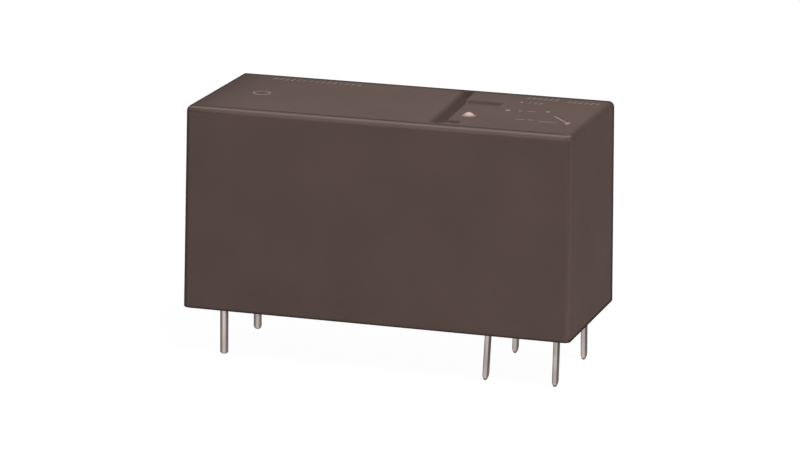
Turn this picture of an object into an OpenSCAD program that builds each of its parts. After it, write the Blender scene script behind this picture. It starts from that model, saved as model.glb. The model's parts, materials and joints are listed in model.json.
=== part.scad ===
// Low profile power relay for circuit boards, one normally open contact.
// X runs along the case, Y across it, Z up. The origin is the middle of the case on the board's surface.

/* [Case] */
// Length of the case at its rim
case_l = 28.8; // [28.2:0.1:31]
// Width of the case at its rim
case_w = 12.5; // [12:0.1:14]
// Height of the case top above the board
case_h = 15.4; // [15:0.1:17.5]
// Height of the case rim above the board
rim_lift = 0.5; // [0.3:0.05:0.8]
// Thickness of the case walls
wall = 0.8; // [0.6:0.05:1]
// Thickness of the case roof
roof = 0.8; // [0.7:0.05:1.2]
// How far each end wall leans in from rim to top
end_lean = 0.2; // [0:0.02:0.3]
// How far each long wall leans in from rim to top
side_lean = 0.1; // [0:0.02:0.2]
// Rounding of the upright corners
corner_r = 0.5; // [0.3:0.05:0.8]
// Rounding of the roof's edges
edge_r = 0.45; // [0.2:0.05:0.6]

/* [Roof relief] */
// Left side of the groove, from the middle of the case
groove_x = 3; // [1:0.1:4]
// Width of the groove that crosses the roof
groove_w = 1.4; // [0.8:0.1:2]
// Depth of the groove
groove_depth = 0.4; // [0.2:0.05:0.5]
// Distance from the ends of the groove to the long walls
groove_stop = 0.8; // [0.7:0.1:2]
// Length of the pocket beside the groove
pocket_l = 2.4; // [1.8:0.1:4]
// Depth of the pocket
pocket_depth = 0.25; // [0.1:0.05:0.4]
// Rear end of the pocket, from the middle of the case
pocket_rear = 2.7; // [2:0.1:4]
// How far the rear pad reaches into the groove
pad_reach = 0.7; // [0.2:0.1:0.7]
// Diameter of the vent nib
nib_d = 1.1; // [0.6:0.1:1.5]
// Place of the vent nib in front of the middle
nib_y = 1.7; // [0:0.1:2]
// Length of the small slot in the pocket
slot_l = 1.1; // [0.6:0.1:1.4]
// Place of the small slot in front of the middle
slot_y = 3.5; // [3:0.1:3.8]

/* [Pins] */
// Distance between the front and rear pin rows
pin_row = 7.5; // [7:0.1:8]
// Distance from the left end of the case to the coil pins
coil_pin_inset = 2.25; // [2:0.05:2.5]
// Distance from the coil pins to the common pins
coil_to_com = 20; // [19.5:0.1:20.3]
// Distance from the common pins to the contact pins
com_to_no = 5; // [4.5:0.1:5.2]
// Length of the pins below the board's surface
pin_len = 3.5; // [2.5:0.1:5]
// Diameter of the coil pins
coil_pin_d = 0.58; // [0.4:0.02:0.7]
// Thickness of the terminal strip
blade_t = 0.32; // [0.25:0.01:0.5]
// Width of the terminal pins
blade_w = 0.7; // [0.5:0.05:1]
// Length of the pins' tapered tips
pin_tip = 0.5; // [0.3:0.05:0.8]

/* [Base] */
// Thickness of the base plate
base_t = 1.4; // [1.2:0.1:1.8]
// Depth of the pocket that holds the yoke's foot
yoke_sink = 0.7; // [0.4:0.05:0.9]
// Thickness of the sealing resin
resin_t = 0.35; // [0.2:0.05:0.6]
// Depth of the resin's surface inside the rim
resin_recess = 0.1; // [0.05:0.05:0.3]
// Thickness of the barrier wall
barrier_t = 0.8; // [0.6:0.1:1.2]
// Distance from the armature's leg to the barrier wall
barrier_gap = 2.6; // [1.5:0.1:4]
// Length of the seating feet
foot_l = 2; // [1:0.1:3]
// Width of the seating feet
foot_w = 1.4; // [1:0.1:2]
// Distance from the middle to the outer feet
foot_x = 10; // [7:0.5:10.5]
// Distance from the middle to the feet rows
foot_y = 2; // [1:0.1:2.4]
// Height of the guide posts of the contact terminal
post_h = 5; // [3:0.1:7]

/* [Magnet system] */
// Diameter of the core
core_d = 4.2; // [3.6:0.1:4.6]
// Diameter of the core's spigot in the yoke
spigot_d = 3; // [2.4:0.1:3.4]
// Diameter of the pole face
pole_d = 6.6; // [5.6:0.1:7.4]
// Thickness of the pole face
pole_t = 0.9; // [0.6:0.05:1.2]
// Thickness of the yoke
yoke_t = 1; // [0.95:0.05:1.2]
// Width of the yoke
yoke_w = 8.6; // [7.6:0.1:9.6]
// Rounding of the yoke edge that carries the armature
knife_r = 0.2; // [0.1:0.05:0.4]
// Wall of the coil former
former_wall = 0.5; // [0.35:0.05:0.7]
// Thickness of the former's flanges
flange_t = 0.7; // [0.5:0.05:1]
// Distance from the winding to the flange's edge
winding_margin = 0.4; // [0.3:0.05:0.8]
// Thickness of the film round the winding
tape_t = 0.08; // [0.05:0.01:0.12]
// Height of the coil pins above the flange
coil_post = 1.2; // [1:0.1:1.6]
// Diameter of the winding's lead wire
lead_d = 0.14; // [0.1:0.01:0.2]

/* [Armature] */
// Thickness of the armature
arm_t = 1; // [0.8:0.05:1.1]
// Width of the armature
arm_w = 8.2; // [7:0.1:9.4]
// Angle of the open armature, in degrees
arm_open = 4; // [3:0.1:4.6]
// How far the armature reaches past the pole
arm_reach = 0.3; // [0:0.1:0.6]
// Width of the tab that pushes the card
tab_w = 2.4; // [1.6:0.1:3]
// Width of the slot for the hinge spring
arm_slot_w = 2.6; // [2.4:0.1:3.4]
// Height of the leg below the slot
leg_bridge = 0.9; // [0.6:0.1:1.4]
// Thickness of the hinge spring
hinge_t = 0.12; // [0.08:0.01:0.18]
// Width of the hinge spring
hinge_w = 2; // [1.4:0.1:2.2]
// Length of the hinge spring's tongue
tongue_l = 2.7; // [2.3:0.1:3.4]
// Diameter of the yoke's rivet pip in the hinge spring
pip_d = 1.1; // [0.8:0.05:1.2]

/* [Contacts] */
// Height of the card's middle above the board
card_z = 7.6; // [7.2:0.1:8.2]
// Width of the card
card_w = 5.6; // [4.6:0.1:6.4]
// Thickness of the card
card_t = 1.2; // [0.9:0.05:1.5]
// Rounding of the card's nose
nose_r = 0.3; // [0.2:0.05:0.4]
// Length of the prongs beside the tab
prong_l = 0.7; // [0.4:0.05:0.8]
// Height of the common terminal above the base
com_h = 2.35; // [2.2:0.05:2.8]
// Thickness of the contact spring
spring_t = 0.2; // [0.12:0.01:0.3]
// Width of the contact spring at its root
spring_root_w = 6.4; // [6.2:0.1:7]
// Width of the contact spring at its tip
spring_tip_w = 4.8; // [4:0.1:5.4]
// Diameter of the spring's rivets
rivet_d = 1; // [0.7:0.05:1.1]
// Distance from the middle to each rivet
rivet_y = 2.2; // [2:0.05:2.3]
// Height of the contacts above the board
contact_z = 10.3; // [9.8:0.1:10.8]
// Diameter of the contacts
contact_d = 3.2; // [2.4:0.1:3.8]
// Height of the contact heads
contact_h = 0.75; // [0.6:0.05:0.9]
// Height of the contact's crown
crown_h = 0.3; // [0.15:0.05:0.4]
// Diameter of the contacts' shanks
shank_d = 1.5; // [1:0.1:1.8]

/* [Clearances] */
// Assembly gap between the base and the case
fit = 0.06; // [0.05:0.01:0.1]
// Gap between the parts of the coil
coil_gap = 0.03; // [0.02:0.01:0.06]
// Gap between pieces that push each other
run_gap = 0.05; // [0.03:0.01:0.08]
// Gap round the card in its window
window_gap = 0.1; // [0.06:0.01:0.2]
// Gap from the pieces inside to the case walls
room_gap = 0.15; // [0.1:0.01:0.25]
// Gap between the open armature and the roof
head_gap = 0.3; // [0.2:0.05:0.6]

/* [Hidden] */
$fn = 48;
hull_fn = 32;
// Small overlap that makes cuts and joins clean, and half the depth of a cut through a thin plate
eps = 0.02;
plate_cut = 1;
// Thickness of the discs that a leaning block is drawn round, and the step of its round edge
disc_t = 0.01;
arc_step = 15;

// Room inside the case
inner_r = 0.2;
in_l = case_l / 2 - wall;
in_w = case_w / 2 - wall;
room_l = in_l - end_lean;
room_w = in_w - side_lean;
ceiling_z = case_h - roof;

// Roof relief
pocket_x = groove_x + groove_w;
groove_end = case_w / 2 - side_lean - groove_stop;
pocket_stop = 0.2;
pocket_end = groove_end - pocket_stop;
nib_shift = 0.05;
nib_x = pocket_x + pocket_l / 2 - nib_shift;
slot_inset = 0.05;
slot_x = pocket_x + slot_inset;
slot_w = 0.7;
slot_depth = 0.2;

// Pins
coil_x = -case_l / 2 + coil_pin_inset;
com_x = coil_x + coil_to_com;
no_x = com_x + com_to_no;
pin_y = pin_row / 2;
strip_w = pin_row + blade_w;
bend_r = 0.2;
neck_step = 0.04;
coil_neck_d = coil_pin_d + 2 * neck_step;
// Width of a pin's tip as a share of the pin
tip_share = 0.5;

// Levels of the base
base_z0 = rim_lift + resin_recess + resin_t;
base_z1 = base_z0 + base_t;
yoke_z0 = base_z1 - yoke_sink;
yoke_z1 = yoke_z0 + yoke_t;

// Coil and yoke
flange_r = room_w - room_gap;
winding_r = flange_r - winding_margin;
core_x = -room_l + room_gap + flange_r;
former_r = core_d / 2 + coil_gap + former_wall;
yoke_x0 = core_x + flange_r + room_gap;
yoke_x1 = yoke_x0 + yoke_t;
foot_margin = 1.3;
yoke_end = core_x - spigot_d / 2 - foot_margin;
yoke_gap = 0.1;

// Armature, about the axis of the yoke's rounded edge
pivot_x = yoke_x1 - knife_r;
arm_in = knife_r + run_gap;
arm_out = arm_in + arm_t;
arm_l = pivot_x - core_x + pole_d / 2 + arm_reach;
arm_top = arm_out * cos(arm_open) + arm_l * sin(arm_open);
pivot_z = ceiling_z - head_gap - arm_top;
yoke_top = pivot_z + knife_r;
leg_x1 = pivot_x + arm_out;
tab_lift = 0.1;
tab_z = card_z - card_t / 2 + tab_lift;
shoulder_gap = 0.3;
shoulder_z = card_z + card_t / 2 + shoulder_gap;
arm_slot_z = shoulder_z + leg_bridge;
arm_slot_l = 1.4;
hinge_gap = 0.3;
hinge_bend_r = 0.3;
hinge_z0 = arm_slot_z + hinge_gap;
pip_proud = 0.24;
pip_z = hinge_z0 + pip_d / 2 + hinge_gap;
tongue_z = pivot_z + arm_out / cos(arm_open) + (tongue_l - knife_r) * tan(arm_open) + run_gap;

// Levels of the coil
pole_z0 = yoke_top - pole_t;
flange_top = yoke_z1 + flange_t;
flange_low = pole_z0 - flange_t;
coil_post_z = flange_top + coil_post;
wrap_h = 0.8;
wrap_lift = 0.2;
lead_z = flange_top + wrap_lift + wrap_h / 2;
wrap_r = coil_neck_d / 2 + coil_gap + lead_d;

// Card and contact spring
card_x0 = leg_x1 + run_gap;
spring_x0 = com_x + blade_t / 2;
spring_x1 = spring_x0 + spring_t;
card_x1 = spring_x0 - run_gap - nose_r;
barrier_x0 = leg_x1 + barrier_gap;
barrier_x1 = barrier_x0 + barrier_t;
root_z = base_z1 + com_h;
rivet_z = base_z1 + com_h / 2;
rivet_rim = 0.4;
rivet_head_d = rivet_d + 2 * rivet_rim;
rivet_head_h = 0.35;
rib_t = 0.9;
rib_h = 1.6;
rib_half = rivet_y - rivet_head_d / 2 - window_gap;
spring_foot_gap = 0.2;
spring_foot_z = base_z1 + spring_foot_gap;

// Travel of the card, the spring's lean and the open contact gap
card_travel = (pivot_z - tab_z) * sin(arm_open);
spring_lean = asin(card_travel / (card_z - root_z));
crown_r = (contact_d * contact_d / 4 + crown_h * crown_h) / (2 * crown_h);
contact_lift = (contact_z - root_z) * sin(spring_lean);
crown_roll = (crown_r - spring_t - contact_h) * (1 - cos(spring_lean));
contact_gap = contact_lift + crown_roll + run_gap;
no_x0 = spring_x1 + contact_h + contact_gap + contact_h;
strip_rim = 0.6;
no_top = contact_z + contact_d / 2 + strip_rim;
tail_h = 0.3;
tail_rim = 0.35;
// Gripped edge and cheeks of the guide posts
post_grip = 0.6;
post_cheek = 0.6;
// Gap of the resin to what it flows round
seal = 0.02;
plate_r = 0.3;

case_brown = [0.33, 0.27, 0.26];
base_brown = [0.27, 0.22, 0.21];
resin_grey = [0.25, 0.24, 0.24];
former_white = [0.86, 0.84, 0.78];
copper = [0.72, 0.42, 0.22];
film_amber = [0.82, 0.62, 0.2];
tin = [0.78, 0.76, 0.73];
iron = [0.62, 0.63, 0.65];
spring_steel = [0.72, 0.72, 0.7];
card_cream = [0.9, 0.88, 0.8];
copper_alloy = [0.78, 0.55, 0.32];
silver = [0.85, 0.85, 0.84];

// Outline with round corners
module round_rect(l, w, r) {
    square([l, w - 2 * r], center = true);
    square([l - 2 * r, w], center = true);
    for (sx = [-1, 1], sy = [-1, 1])
        translate([sx * (l / 2 - r), sy * (w / 2 - r)]) circle(r = r);
}

// Quarter of a flat ring, with its corner at the middle
module quarter_ring(inner, thick) {
    outer = inner + thick;
    intersection() {
        difference() {
            circle(r = outer);
            circle(r = inner);
        }
        square(outer);
    }
}

// Extrudes an outline in X and Z across the width
module across(w) {
    rotate([90, 0, 0]) linear_extrude(w, center = true) children();
}

// Extrudes an outline in Y and Z along X, from x0
module along(x0, t) {
    translate([x0, 0, 0]) rotate([90, 0, 90]) linear_extrude(t) children();
}

// Cylinder along X, from x0
module rod_x(x0, d, h) {
    translate([x0, 0, 0]) rotate([0, 90, 0]) cylinder(d = d, h = h);
}

// Box from its low and high corners
module span(low, high) {
    translate(low) cube(high - low);
}

// Block with leaning walls, round corners and a round upper edge
module leaning_block(l, w, z0, z1, r, top_r) {
    round_r = min(top_r, r);
    hull() for (sx = [-1, 1], sy = [-1, 1]) {
        translate([sx * (l / 2 - r), sy * (w / 2 - r), z0]) cylinder(r = r, h = disc_t, $fn = hull_fn);
        for (a = [0 : arc_step : 90]) {
            disc_r = max(r - round_r * (1 - cos(a)), disc_t);
            rise = z1 - round_r * (1 - sin(a)) - disc_t;
            translate([sx * (l / 2 - end_lean - r), sy * (w / 2 - side_lean - r), rise])
                cylinder(r = disc_r, h = disc_t, $fn = hull_fn);
        }
    }
}

module case() {
    color(case_brown) {
        difference() {
            leaning_block(case_l, case_w, rim_lift, case_h, corner_r, edge_r);
            leaning_block(2 * in_l, 2 * in_w, rim_lift - eps, ceiling_z, inner_r, inner_r);
            roof_relief();
        }
        translate([nib_x, -nib_y, ceiling_z + eps]) cylinder(d = nib_d, h = roof - eps);
    }
}

// Groove, pocket and slot in the roof
module roof_relief() {
    top = case_h + eps;
    groove_z = case_h - groove_depth;
    pocket_z = case_h - pocket_depth;
    span([groove_x, -groove_end, groove_z], [pocket_x, pocket_rear, top]);
    span([groove_x, -groove_end, groove_z], [pocket_x - pad_reach, groove_end, top]);
    span([pocket_x - eps, -pocket_end, pocket_z], [pocket_x + pocket_l, pocket_rear, top]);
    translate([slot_x, -slot_y - slot_w / 2, pocket_z - slot_depth])
        cube([slot_l, slot_w, slot_depth + eps]);
}

module base() {
    strip_x = com_x - blade_t / 2;
    color(base_brown) difference() {
        union() {
            translate([0, 0, base_z0]) linear_extrude(base_t)
                round_rect(2 * (in_l - fit), 2 * (in_w - fit), plate_r);
            base_feet();
            barrier();
            guide_posts();
            span([strip_x - rib_t, -rib_half, base_z1 - eps], [strip_x, rib_half, base_z1 + rib_h]);
        }
        yoke_pocket();
        for (side = [-1, 1]) {
            translate([coil_x, side * pin_y, base_z0 - eps])
                cylinder(d = coil_neck_d + 2 * fit, h = base_t + 2 * eps);
            terminal_slot(strip_x, strip_x + blade_t, side * pin_y);
            terminal_slot(no_x - blade_t / 2 - bend_r, no_x + blade_t / 2, side * pin_y);
        }
    }
}

// Pocket that takes the foot of the yoke
module yoke_pocket() {
    half = yoke_w / 2 + yoke_gap;
    span([yoke_end - yoke_gap, -half, yoke_z0], [yoke_x1 + yoke_gap, half, base_z1 + eps]);
}

// Slot through the base plate for one terminal pin
module terminal_slot(x0, x1, y) {
    half = blade_w / 2 + fit;
    span([x0 - fit, y - half, base_z0 - eps], [x1 + fit, y + half, base_z1 + eps]);
}

// Feet that seat the relay on the board
module base_feet() {
    high = base_z0 + eps;
    for (sx = [-1, 1], sy = [-1, 1])
        translate([sx * foot_x, sy * foot_y, high / 2]) cube([foot_l, foot_w, high], center = true);
    translate([0, 0, high / 2]) cube([foot_w, 2 * foot_y + foot_w, high], center = true);
}

// Wall between the coil and the contacts, with the card's window
module barrier() {
    half = room_w - room_gap;
    window_y = card_w / 2 + window_gap;
    window_z = card_t / 2 + window_gap;
    difference() {
        span([barrier_x0, -half, base_z1 - eps], [barrier_x1, half, ceiling_z - head_gap]);
        translate([barrier_x0, 0, card_z])
            span([-eps, -window_y, -window_z], [barrier_t + eps, window_y, window_z]);
    }
}

// Posts that hold the edges of the normally open terminal
module guide_posts() {
    outer = room_w - room_gap;
    inner = strip_w / 2 - post_grip;
    edge = strip_w / 2 + coil_gap;
    bend = blade_t + bend_r + coil_gap;
    translate([no_x0, 0, base_z1]) difference() {
        for (side = [0, 1]) mirror([0, side, 0])
            span([-post_cheek, inner, -eps], [blade_t + post_cheek, outer, post_h]);
        span([-coil_gap, -edge, 0], [blade_t + coil_gap, edge, post_h + eps]);
        span([-coil_gap, -edge, 0], [no_x - no_x0, edge, bend]);
    }
}

module sealing_resin() {
    pin_hole = [blade_t + 2 * seal, blade_w + 2 * seal, 2 * resin_t + eps];
    color(resin_grey) translate([0, 0, rim_lift + resin_recess]) difference() {
        linear_extrude(resin_t) round_rect(2 * (in_l - seal), 2 * (in_w - seal), plate_r);
        translate([0, 0, -rim_lift - resin_recess]) base_feet();
        for (side = [-1, 1]) {
            translate([coil_x, side * pin_y, -eps])
                cylinder(d = coil_neck_d + 2 * seal, h = resin_t + 2 * eps);
            for (x = [com_x, no_x]) translate([x, side * pin_y, 0]) cube(pin_hole, center = true);
        }
    }
}

module bobbin() {
    flange_x0 = -room_l + room_gap;
    color(former_white) difference() {
        union() {
            translate([core_x, 0, yoke_z1]) cylinder(r = former_r, h = pole_z0 - yoke_z1);
            translate([core_x, 0, flange_low]) cylinder(r = flange_r, h = flange_t);
            translate([core_x, 0, yoke_z1]) cylinder(r = flange_r, h = flange_t);
            span([flange_x0, -flange_r, yoke_z1], [core_x, flange_r, flange_top]);
            span([flange_x0, -flange_r, base_z1], [yoke_end - 2 * yoke_gap, flange_r, yoke_z1 + eps]);
        }
        translate([core_x, 0, yoke_z1 - eps])
            cylinder(d = core_d + 2 * coil_gap, h = pole_z0 - yoke_z1 + 2 * eps);
        for (side = [-1, 1])
            translate([coil_x, side * pin_y, base_z1 - eps])
                cylinder(d = coil_neck_d + 2 * coil_gap, h = flange_top - base_z1 + 2 * eps);
    }
}

module coil_winding() {
    color(copper) {
        translate([core_x, 0, flange_top + coil_gap]) difference() {
            cylinder(r = winding_r, h = flange_low - flange_top - 2 * coil_gap);
            translate([0, 0, -eps]) cylinder(r = former_r + coil_gap, h = flange_low - flange_top + eps);
        }
        for (side = [-1, 1]) winding_lead(side);
    }
}

// Lead end of the winding, wrapped on one coil pin
module winding_lead(side) {
    reach = norm([coil_x - core_x, pin_y]) - wrap_r + lead_d / 2;
    turn = atan2(side * pin_y, coil_x - core_x);
    translate([core_x, 0, lead_z]) rotate([0, 90, turn])
        translate([0, 0, winding_r - lead_d]) cylinder(d = lead_d, h = reach - winding_r + lead_d);
    translate([coil_x, side * pin_y, lead_z - wrap_h / 2]) difference() {
        cylinder(r = wrap_r, h = wrap_h);
        translate([0, 0, -eps]) cylinder(d = coil_neck_d + 2 * coil_gap, h = wrap_h + 2 * eps);
    }
}

module coil_tape() {
    low = lead_z + wrap_h / 2 + wrap_lift;
    color(film_amber) translate([core_x, 0, low]) difference() {
        cylinder(r = winding_r + coil_gap + tape_t, h = flange_low - low - coil_gap);
        translate([0, 0, -eps]) cylinder(r = winding_r + coil_gap, h = flange_low - low);
    }
}

// Round pin with a tapered tip and a thicker neck that is held by the former and the resin
module coil_pin(side) {
    r = coil_pin_d / 2;
    neck_r = coil_neck_d / 2;
    neck_z = rim_lift + resin_recess;
    color(tin) translate([coil_x, side * pin_y, 0]) rotate_extrude() polygon([
        [0, -pin_len], [r * tip_share, -pin_len], [r, pin_tip - pin_len], [r, neck_z],
        [neck_r, neck_z], [neck_r, coil_post_z], [0, coil_post_z]
    ]);
}

module coil_pin_front() {
    coil_pin(-1);
}

module coil_pin_rear() {
    coil_pin(1);
}

module core() {
    color(iron) translate([core_x, 0, 0]) rotate_extrude() polygon([
        [0, yoke_z0], [spigot_d / 2, yoke_z0], [spigot_d / 2, yoke_z1], [core_d / 2, yoke_z1],
        [core_d / 2, pole_z0], [pole_d / 2, pole_z0], [pole_d / 2, yoke_top], [0, yoke_top]
    ]);
}

module yoke() {
    color(iron) {
        difference() {
            across(yoke_w) yoke_outline();
            translate([core_x, 0, yoke_z0 - eps])
                cylinder(d = spigot_d + 2 * coil_gap, h = yoke_t + 2 * eps);
        }
        translate([0, 0, pip_z]) rod_x(yoke_x1 - eps, pip_d, hinge_t + pip_proud + eps);
    }
}

// Foot, bend and upright leg of the yoke, with its bearing edge
module yoke_outline() {
    bend = yoke_t + bend_r;
    translate([yoke_end, yoke_z0]) square([yoke_x1 - bend - yoke_end + eps, yoke_t]);
    translate([yoke_x1 - bend, yoke_z0 + bend]) rotate(-90) quarter_ring(bend_r, yoke_t);
    translate([yoke_x0, yoke_z0 + bend - eps]) square([yoke_t, pivot_z - yoke_z0 - bend + eps]);
    translate([yoke_x0, pivot_z - eps]) square([yoke_t - knife_r, knife_r + eps]);
    translate([pivot_x, pivot_z]) circle(r = knife_r);
}

module hinge_spring() {
    color(spring_steel) difference() {
        across(hinge_w) hinge_outline();
        translate([0, 0, pip_z]) rod_x(yoke_x1 - plate_cut, pip_d + 2 * coil_gap, 2 * plate_cut);
    }
}

// Upright leaf, bend and tongue of the hinge spring
module hinge_outline() {
    flat = tongue_l - hinge_bend_r;
    translate([yoke_x1, hinge_z0]) square([hinge_t, tongue_z - hinge_bend_r - hinge_z0 + eps]);
    translate([yoke_x1 - hinge_bend_r, tongue_z - hinge_bend_r]) quarter_ring(hinge_bend_r, hinge_t);
    translate([yoke_x1 - tongue_l, tongue_z]) square([flat + eps, hinge_t]);
}

module armature() {
    leg_l = pivot_z - tab_z;
    far = 2 * arm_w;
    color(iron) translate([pivot_x, 0, pivot_z]) difference() {
        across(arm_w) armature_outline(leg_l);
        for (side = [-1, 1])
            translate([0, side * (tab_w + far) / 2, shoulder_z - pivot_z - far / 2])
                cube(far, center = true);
        span([0, -arm_slot_w / 2, arm_slot_z - pivot_z], [far, arm_slot_w / 2, far]);
        rotate([0, arm_open, 0]) span([-arm_slot_l, -arm_slot_w / 2, 0], [far, arm_slot_w / 2, far]);
    }
}

// Plate, bend and leg of the armature, about its pivot
module armature_outline(leg_l) {
    wedge = 2 * arm_out;
    rotate(-arm_open) translate([-arm_l, arm_in]) square([arm_l + eps, arm_t]);
    translate([arm_in, -leg_l]) square([arm_t, leg_l + eps]);
    intersection() {
        difference() {
            circle(r = arm_out);
            circle(r = arm_in);
        }
        polygon([[0, 0], [wedge, 0], [wedge, wedge], [wedge * sin(arm_open), wedge * cos(arm_open)]]);
    }
}

module card() {
    tab_half = tab_w / 2 + window_gap;
    half_w = card_w / 2;
    half_t = card_t / 2;
    bar_x1 = card_x1 - nose_r;
    color(card_cream) translate([0, 0, card_z]) {
        span([card_x0, -half_w, -half_t], [bar_x1, half_w, half_t]);
        for (side = [0, 1]) mirror([0, side, 0])
            span([card_x0 - prong_l, tab_half, -half_t], [card_x0 + eps, half_w, half_t]);
        span([bar_x1 - eps, -half_w, -nose_r], [card_x1, half_w, nose_r]);
        translate([card_x1, 0, 0]) rotate([90, 0, 0]) cylinder(r = nose_r, h = card_w, center = true);
    }
}

// Strip with two tapered pins, in Y and Z
module terminal_outline(top) {
    half = blade_w / 2;
    tip = half * tip_share;
    translate([-strip_w / 2, base_z1]) square([strip_w, top - base_z1]);
    for (side = [-1, 1])
        translate([side * pin_y, 0]) polygon([
            [-half, base_z1 + eps], [-half, pin_tip - pin_len], [-tip, -pin_len],
            [tip, -pin_len], [half, pin_tip - pin_len], [half, base_z1 + eps]
        ]);
}

module com_terminal() {
    color(copper_alloy) difference() {
        along(com_x - blade_t / 2, blade_t) terminal_outline(root_z);
        for (side = [-1, 1])
            translate([0, side * rivet_y, rivet_z])
                rod_x(com_x - plate_cut, rivet_d + 2 * coil_gap, 2 * plate_cut);
    }
}

module spring_rivets() {
    color(silver) for (side = [-1, 1]) translate([0, side * rivet_y, rivet_z]) {
        rod_x(com_x - blade_t / 2 - rivet_head_h, rivet_d, blade_t + spring_t + 2 * rivet_head_h);
        rod_x(com_x - blade_t / 2 - rivet_head_h, rivet_head_d, rivet_head_h);
        rod_x(spring_x1, rivet_head_d, rivet_head_h);
    }
}

module moving_spring() {
    tip_half = spring_tip_w / 2;
    root_half = spring_root_w / 2;
    color(copper_alloy) difference() {
        along(spring_x0, spring_t) {
            polygon([
                [-root_half, spring_foot_z], [root_half, spring_foot_z], [root_half, root_z],
                [tip_half, contact_z], [-tip_half, contact_z], [-root_half, root_z]
            ]);
            translate([0, contact_z]) circle(r = tip_half);
        }
        translate([0, 0, contact_z])
            rod_x(spring_x0 - plate_cut, shank_d + 2 * coil_gap, 2 * plate_cut);
        for (side = [-1, 1])
            translate([0, side * rivet_y, rivet_z])
                rod_x(spring_x0 - plate_cut, rivet_d + 2 * coil_gap, 2 * plate_cut);
    }
}

// Contact rivet along X: crowned head from x = 0, shank through a plate, and its riveted tail
module contact(plate_t) {
    shank_r = shank_d / 2;
    rotate([0, 90, 0]) rotate_extrude() {
        intersection() {
            square([contact_d / 2, contact_h]);
            translate([0, contact_h - crown_r]) circle(r = crown_r);
        }
        translate([0, -plate_t - eps]) square([shank_r, plate_t + 2 * eps]);
        translate([0, -plate_t - tail_h]) square([shank_r + tail_rim, tail_h]);
    }
}

module moving_contact() {
    color(silver) translate([spring_x1, 0, contact_z]) contact(spring_t);
}

module fixed_contact() {
    color(silver) translate([no_x0, 0, contact_z]) rotate([0, 0, 180]) contact(blade_t);
}

module no_terminal() {
    color(copper_alloy) difference() {
        intersection() {
            across(strip_w) no_outline();
            along(no_x0 - plate_cut, no_x - no_x0 + 2 * plate_cut) terminal_outline(no_top);
        }
        translate([0, 0, contact_z])
            rod_x(no_x0 - plate_cut, shank_d + 2 * coil_gap, 2 * plate_cut);
    }
}

// Upright plate, foot and pins of the normally open terminal, folded from one strip
module no_outline() {
    bend = bend_r + blade_t;
    foot_x0 = no_x0 + bend - eps;
    foot_x1 = no_x + blade_t / 2 - bend + eps;
    translate([no_x0, base_z1 + bend - eps]) square([blade_t, no_top - base_z1 - bend + eps]);
    translate([no_x0 + bend, base_z1 + bend]) rotate(180) quarter_ring(bend_r, blade_t);
    translate([foot_x0, base_z1]) square([foot_x1 - foot_x0, blade_t]);
    translate([no_x + blade_t / 2 - bend, base_z1 + blade_t - bend]) quarter_ring(bend_r, blade_t);
    translate([no_x - blade_t / 2, -pin_len]) square([blade_t, pin_len + base_z1 - bend_r + eps]);
}

case();
base();
sealing_resin();
bobbin();
coil_winding();
coil_tape();
coil_pin_front();
coil_pin_rear();
core();
yoke();
hinge_spring();
armature();
card();
com_terminal();
spring_rivets();
moving_spring();
moving_contact();
no_terminal();
fixed_contact();
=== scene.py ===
# %% [markdown]
# # A sealed power relay for circuit boards
# A brown moulded cover hides a coil, an armature and one contact, and six tinned pins stand out below.
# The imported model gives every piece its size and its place. This file dresses those pieces, sets them on
# a white floor and lights them, one step to a cell. Sizes are written in millimetres, and MM turns them
# into Blender's metres.

import json
import math
from itertools import pairwise

import bmesh
import bpy
from mathutils import Matrix, Vector


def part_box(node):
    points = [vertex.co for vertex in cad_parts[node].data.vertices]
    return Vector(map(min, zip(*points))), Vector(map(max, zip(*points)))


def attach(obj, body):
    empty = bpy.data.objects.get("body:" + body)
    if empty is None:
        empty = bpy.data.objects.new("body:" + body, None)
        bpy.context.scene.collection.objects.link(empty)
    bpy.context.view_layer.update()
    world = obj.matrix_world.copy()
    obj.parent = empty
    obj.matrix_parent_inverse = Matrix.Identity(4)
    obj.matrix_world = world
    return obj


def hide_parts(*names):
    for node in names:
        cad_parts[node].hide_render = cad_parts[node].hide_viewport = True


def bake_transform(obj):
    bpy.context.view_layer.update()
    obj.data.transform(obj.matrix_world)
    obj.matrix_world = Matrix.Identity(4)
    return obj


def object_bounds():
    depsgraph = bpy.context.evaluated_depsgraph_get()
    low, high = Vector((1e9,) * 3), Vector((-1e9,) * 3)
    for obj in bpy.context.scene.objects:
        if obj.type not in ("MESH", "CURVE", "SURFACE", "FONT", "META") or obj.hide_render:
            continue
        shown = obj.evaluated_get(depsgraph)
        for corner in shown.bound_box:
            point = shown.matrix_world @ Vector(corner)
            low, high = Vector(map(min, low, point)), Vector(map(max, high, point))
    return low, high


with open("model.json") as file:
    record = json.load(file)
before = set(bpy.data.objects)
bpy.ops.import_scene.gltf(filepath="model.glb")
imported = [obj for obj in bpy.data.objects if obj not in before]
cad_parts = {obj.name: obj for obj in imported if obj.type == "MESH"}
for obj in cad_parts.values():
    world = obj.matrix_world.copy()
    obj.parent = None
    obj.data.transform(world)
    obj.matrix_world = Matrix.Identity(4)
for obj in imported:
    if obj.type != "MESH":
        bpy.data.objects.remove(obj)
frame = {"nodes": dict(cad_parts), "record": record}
cad_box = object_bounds()
scene = bpy.context.scene
scene.view_settings.view_transform = "Standard"
MM = 0.001
cad_size = (cad_box[1] - cad_box[0]) / MM
print("nodes:", len(frame["nodes"]), "box in mm:", [round(side, 2) for side in cad_size])

# %% [markdown]
# ## The camera
# A long lens looks at the relay from a little to the right of its front and a little above. The angles
# come from matching the corners of the cover and the tips of the pins. A camera could also be aimed with
# a Track To constraint, but a matrix of three axes keeps the small roll and leaves nothing to evaluate
# later.

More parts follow.
